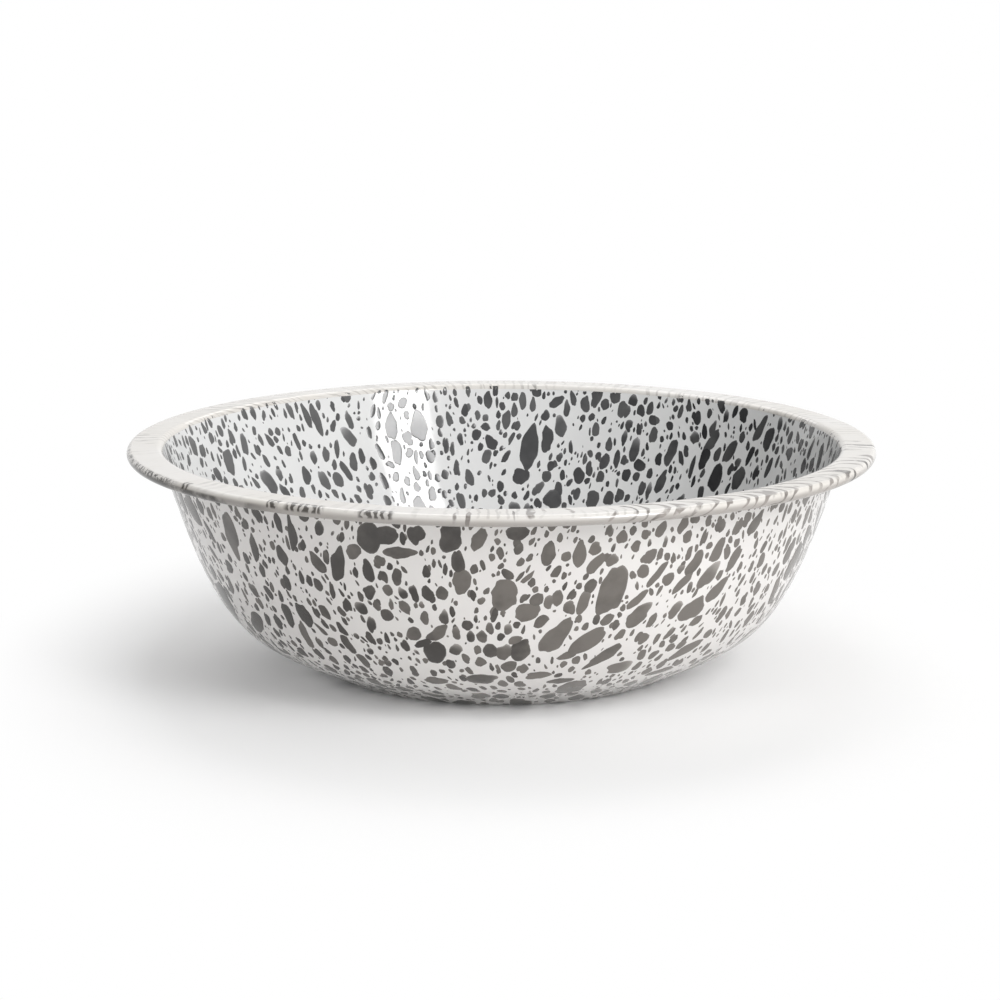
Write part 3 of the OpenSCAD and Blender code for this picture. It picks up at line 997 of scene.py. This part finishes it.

# Grey drops, inside: the same enamel splashed over the inner wall and bottom. Its greys are set darker
# and cooler than those outside, as painted light: the bowl shades these drops, and they mirror less of the
# floor.
# Read too: azimuth in degrees from the back towards +X, mm down the wall from its top, length,
# width and lean
placed_inside = (
    (-73, 9, 11, 6, -10), (-67, 26, 9, 5, -20), (-67, 17, 5, 2.5, 0), (-65.5, 8.5, 6, 4.5, 0),
    (-64.5, 1.5, 5, 3.5, -30), (-62, 22, 13, 8, 10), (-60.5, 3.5, 6, 2.5, -10), (-57.5, 25, 7, 3, 0),
    (-56, 15.5, 11, 5, 5), (-52, 36, 14, 7.5, -25), (-49, 16.5, 9, 3, -30), (-49, 4, 5.5, 2.5, 10),
    (-48.5, 42, 9, 4, -30), (-46.5, 13, 4.5, 3.5, 0), (-44, 44.5, 5.5, 4, -10), (-42.5, 4, 8.5, 3.5, -15),
    (-42, 36.5, 9.5, 5, -8), (-39, 7.5, 14, 3.5, -18), (-38, 40, 11, 5, -20), (-37, 9.5, 15, 5.5, -12),
    (-36, 3, 5, 3, 0), (-33, 4.5, 5.5, 2.5, -10), (-32.5, 37, 11, 4, -30), (-30, 12, 10, 3.5, -10),
    (-30.5, 20, 12, 6, -35), (-30.5, 33, 8.5, 5, 0), (-28.5, 30.5, 8, 3.5, 0), (-31, 51.5, 5, 3.5, -30),
    (-24.5, 29, 9, 3, -20), (-24.5, 44, 9, 3.5, -20), (-24.5, 54, 6, 4, -20), (-21.5, 17, 14, 6, -5),
    (-21, 30, 12, 6, 0), (-21, 52, 8, 3, 0), (-16, 17.5, 16, 8, -5), (-14.5, 52, 7, 4.5, 0),
    (-12.5, 3.5, 6, 2.5, 0), (-11.5, 42.5, 5, 4, -10), (-10, 14.5, 8.5, 3, -15), (-9, 39.5, 8, 3.5, 0),
    (-8.5, 6.5, 5, 2.5, -10), (-8.5, 56, 8.5, 4.5, -15), (-8, 25, 6.5, 3, -10), (-7.5, 15.5, 4.5, 3, -20),
    (-6.5, 44.5, 8.5, 4.5, -20), (-4.5, 13, 5, 3, -10), (-4, 5.5, 4.5, 3, 0), (-3, 19, 5, 4, -60),
    (-3.5, 52.5, 4.5, 3, 0), (-2.5, 5.5, 8.5, 4.5, 0), (-2, 27, 8, 6, -40),
    (1, 15.5, 9.5, 4.5, 0), (2.5, 10.5, 8, 3, 0), (4, 5.5, 9.5, 4, 0), (4, 44, 9.5, 7.5, 10),
    (5.5, 27.5, 25, 9.5, 0), (6, 7.5, 8, 3, 0), (8.5, 13, 6, 4, 0), (9, 25, 13.5, 6, 0),
    (10.5, 6, 8, 5, 50), (11, 55, 11, 9, 10), (12, 50, 8, 4, 0), (11.5, 18, 11, 6, -15),
    (12.5, 9, 8, 3.5, 0), (13.5, 4, 8, 3.5, -20), (16, 6.5, 9, 4.5, 0), (16, 42.5, 8.5, 6, -10),
    (18, 39, 7.5, 4, 0), (18.5, 19, 7.5, 4, -5), (19.5, 54, 9, 7, 5), (20.5, 42.5, 6.5, 4, 10),
    (21, 34.5, 8.5, 5, 10), (21.5, 26, 6.5, 4, 0), (23, 53, 7, 6, 0), (23.5, 33, 9, 3.5, 5),
    (24.5, 22, 8, 3, 5), (26, 40.5, 7, 4.5, 0), (27, 27.5, 13.5, 5, 10), (28.5, 35, 6.5, 6.5, 0),
    (29, 6.5, 6.5, 4, 0), (30, 46.5, 8, 4, 0), (30.5, 19.5, 8.5, 4.5, 5), (31.5, 47.5, 8.5, 3.5, 5),
    (32.5, 31, 6.5, 4, 0), (34, 42, 12, 5, 20), (35, 27, 13, 6, 15), (35.5, 6.5, 7, 3, 5),
    (37.5, 29, 8, 3, -20), (40.5, 33, 11, 3, 5), (42, 5.5, 4.5, 3.5, 0), (43, 27, 12, 6, 10),
    (43.5, 12.5, 8, 4, 10), (44, 18.5, 13, 5.5, 25), (46, 5.5, 7, 3.5, 5), (46, 24.5, 8, 4, 10),
    (47, 36, 15, 8, 10), (48, 2.5, 7, 3, 5), (49, 22, 14, 5.5, 30), (53, 34, 11.5, 8.5, 0),
    (54.5, 22, 11, 4.5, 15), (55.5, 8, 15, 5, 15), (58.5, 12, 13, 6.5, 15), (61, 25, 10, 4, 10),
    (65, 8.5, 6.5, 4, 10), (74, 10, 10, 4, 10),
)

inner_face = finished_face(wall_thickness)
inner_top_way = along(at_depth(to_wall_top, wall_thickness))[-1]
inner_drops = fall_at_random(
    inner_face, 1, placed_rows(placed_inside, lambda down: inner_top_way - down),
    (0.002, inner_top_way + 0.001),
    (0.0085, np.radians(78), inner_top_way - 0.056, inner_top_way), 0.0005, 11,
)
# Painted light: inside, the drops grow lighter towards the lit left of the wall (last four numbers).
grey_inside = finish(
    "grey_enamel_inside",
    grey_enamel(
        (0.032, 0.032, 0.034, 1), (0.098, 0.098, 0.098, 1), (0.45, 0.45, 0.45, 1), 0.1,
        -1.0, -0.02, 0.13, 0.0, 0.55,
    ),
)
splash_pieces("inside", inner_face, 1, inner_drops, 6, grey_inside)

# Floor: a wide sheet of white paper. Near the bowl it is lit paper with the bowl's shadow on it. For
# the camera and for what mirrors it, a white glow is mixed in that lightens that shadow a little, painted
# light, but not right under the bowl, so the shadow at the foot stays dark, painted shade. Further off,
# and sooner to the sides, it fades to plain white for the camera and for what mirrors it.
floor_size = 24
floor_white = (0.95, 0.95, 0.95, 1)
floor_fade = (0.165, 0.34)
floor_lift = 0.2
lift_fade = (0.074, 0.094)
stretch = (1.35, 1, 1)


def paper_floor():
    material = bpy.data.materials.new("white_paper")
    tree = fresh_tree(material)
    place = object_place(tree)
    wider = vector(tree, "MULTIPLY", place, stretch)
    distance = vector(tree, "LENGTH", wider, result="Value")
    near = vector(tree, "LENGTH", place, result="Value")
    path = add(tree, "LightPath").outputs
    mirrored = calc(tree, "MAXIMUM", path["Is Glossy Ray"], path["Is Transmission Ray"])
    watched = calc(tree, "MAXIMUM", path["Is Camera Ray"], mirrored)
    fibres = noise(tree, place, 700, 3)
    rough = tilted(tree, fibres, 0.00003, 0.2)
    paper = add(tree, "BsdfDiffuse", {"Color": floor_white, "Normal": rough})
    white = add(tree, "Emission", {"Color": (1, 1, 1, 1), "Strength": 1.0})
    # Painted light: a white glow for the camera and mirrors lightens the bowl's shadow, held back at the foot
    # as painted shade.
    lift = eased(tree, near, *lift_fade, 0.03, floor_lift)
    lift = calc(tree, "MAXIMUM", lift, eased(tree, distance, *floor_fade))
    share = times(tree, lift, watched)
    both = add(tree, "MixShader", {0: share, 1: paper.outputs[0], 2: white.outputs[0]})
    add(tree, "OutputMaterial", {"Surface": both.outputs[0]})
    return material


floor_mesh = bpy.data.meshes.new("paper_floor")
half = floor_size / 2
floor_corners = [(-half, -half, 0), (half, -half, 0), (half, half, 0), (-half, half, 0)]
floor_mesh.from_pydata(floor_corners, [], [(0, 1, 2, 3)])
floor_mesh.materials.append(paper_floor())
floor = bpy.data.objects.new("paper_floor", floor_mesh)
bpy.context.scene.collection.objects.link(floor)

# Light: two soft boxes behind the bowl brighten the rim and throw a soft shadow to the front, a tall
# one at the front right is mirrored in the inner wall like a window, and the room is bright on the
# right, dimmer in front, behind and above, and dark on the left.
bowl_middle = Vector((0, 0, bowl_height / 2))


def soft_box(name, azimuth, elevation, distance, width, height, power):
    """An area lamp that faces the bowl from an azimuth, counted from the front towards +X."""
    lamp = bpy.data.lights.new(name, "AREA")
    lamp.shape = "RECTANGLE"
    lamp.size = width
    lamp.size_y = height
    lamp.energy = power
    box = bpy.data.objects.new(name, lamp)
    a, e = np.radians(azimuth), np.radians(elevation)
    way = Vector((np.cos(e) * np.sin(a), -np.cos(e) * np.cos(a), np.sin(e)))
    box.location = bowl_middle + way * distance
    box.rotation_euler = way.to_track_quat("Z", "Y").to_euler()
    bpy.context.scene.collection.objects.link(box)


soft_box("back_soft_box", 180, 45, 1.6, 1.1, 1.1, 4.8)
soft_box("back_left_soft_box", -140, 60, 1.6, 1.1, 1.1, 4.3)
soft_box("window_soft_box", 39, 34, 2.2, 0.74, 1.2, 26.5)
room_lobes = (((1, 0, 0), 1.05), ((0, 1, 0), 0.45), ((0, -1, 0), 1.0), ((0, 0, 1), 0.42))


def studio_room():
    """World light that is the sum of a soft lobe for each bright side: its strength times the square
    of the cosine of the angle to that side. The camera sees plain white, and so does what mirrors
    the room behind the bowl."""
    room = bpy.data.worlds.new("studio_room")
    tree = fresh_tree(room)
    way = add(tree, "TexCoord").outputs["Generated"]
    level = 0.0
    for side, strength in room_lobes:
        facing = calc(tree, "MAXIMUM", vector(tree, "DOT_PRODUCT", way, side, result="Value"), 0.0)
        level = plus(tree, times(tree, calc(tree, "POWER", facing, 2.0), strength), level)
    white = add(tree, "Background", {"Color": (1, 1, 1, 1), "Strength": 1.0})
    lit = add(tree, "Background", {"Color": (1, 1, 1, 1), "Strength": level})
    path = add(tree, "LightPath").outputs
    behind = vector(tree, "DOT_PRODUCT", way, (0, 1, 0), result="Value")
    mirrored = times(tree, path["Is Glossy Ray"], eased(tree, behind, 0.3, 0.8))
    watched = calc(tree, "MAXIMUM", path["Is Camera Ray"], mirrored)
    both = add(tree, "MixShader", {0: watched, 1: lit.outputs[0], 2: white.outputs[0]})
    add(tree, "OutputWorld", {"Surface": both.outputs[0]})
    return room


bpy.context.scene.world = studio_room()

# Camera: the photograph's viewpoint, 1.6 m from the bowl and a little above it, with a long lens.
camera_place = (-0.0006, -1.5519, 0.3892)
camera_tilt = np.radians(78.598)
camera_lens = 124.6
camera_data = bpy.data.cameras.new("camera")
camera_data.lens = camera_lens
camera_data.sensor_width = 36
camera = bpy.data.objects.new("camera", camera_data)
camera.location = camera_place
camera.rotation_euler = (camera_tilt, 0, 0)
bpy.context.scene.collection.objects.link(camera)
bpy.context.scene.camera = camera

bpy.context.scene.view_settings.view_transform = "Standard"
